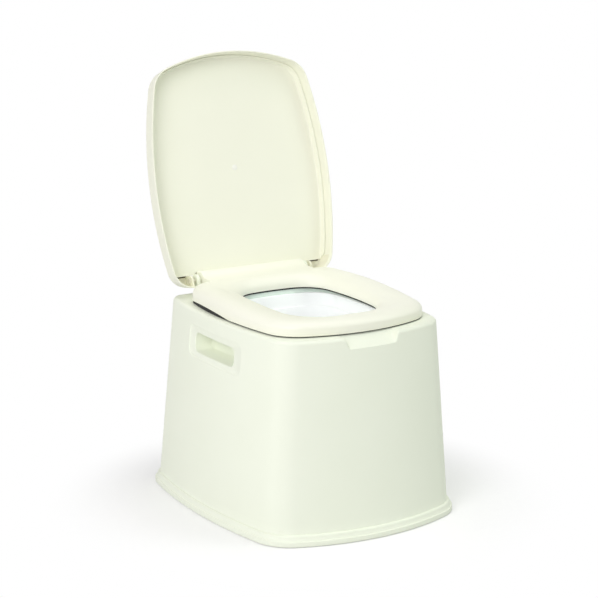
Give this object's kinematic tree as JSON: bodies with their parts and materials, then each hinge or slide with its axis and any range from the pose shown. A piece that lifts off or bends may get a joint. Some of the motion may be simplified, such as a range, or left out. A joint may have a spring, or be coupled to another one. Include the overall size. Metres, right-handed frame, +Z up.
{
  "type": "portable toilet",
  "caption": "Ivory moulded portable toilet with a hinged seat and lid, hand-holds in its sides and a lift-out bucket.",
  "frame": {"origin": "on the floor, under the centre of the base flange", "axes": "-Y is the front, where the user sits facing; +X is to the right seen from the front; +Z is up"},
  "size_m": [0.41, 0.5363, 0.7439],
  "materials": {
    "ivory": "fine-grained satin",
    "pail": "smooth",
    "pin": "smooth",
    "wire": "bright zinc",
    "rubber": "matte"
  },
  "bodies": {
    "body": {"body_shell": "ivory", "left_hinge_pin": "pin", "right_hinge_pin": "pin", "bucket": "pail", "bucket_bail": "wire", "bail_grip": "pail", "front_left_foot": "rubber", "front_right_foot": "rubber", "rear_left_foot": "rubber", "rear_right_foot": "rubber"},
    "seat": {"seat": "ivory", "front_left_seat_bumper": "rubber", "front_right_seat_bumper": "rubber", "rear_left_seat_bumper": "rubber", "rear_right_seat_bumper": "rubber"},
    "lid": {"lid_shell": "ivory", "lid_liner": "ivory"}
  },
  "joints": [
    {"name": "seat_hinge", "type": "hinge", "parent": "body", "child": "seat", "pos_m": [0, 0.187, 0.359], "axis": [-1, 0, 0], "range_deg": [0, 95]},
    {"name": "lid_hinge", "type": "hinge", "parent": "seat", "child": "lid", "pos_m": [0, 0.187, 0.359], "axis": [-1, 0, 0], "range_deg": [-104, 0]}
  ]
}
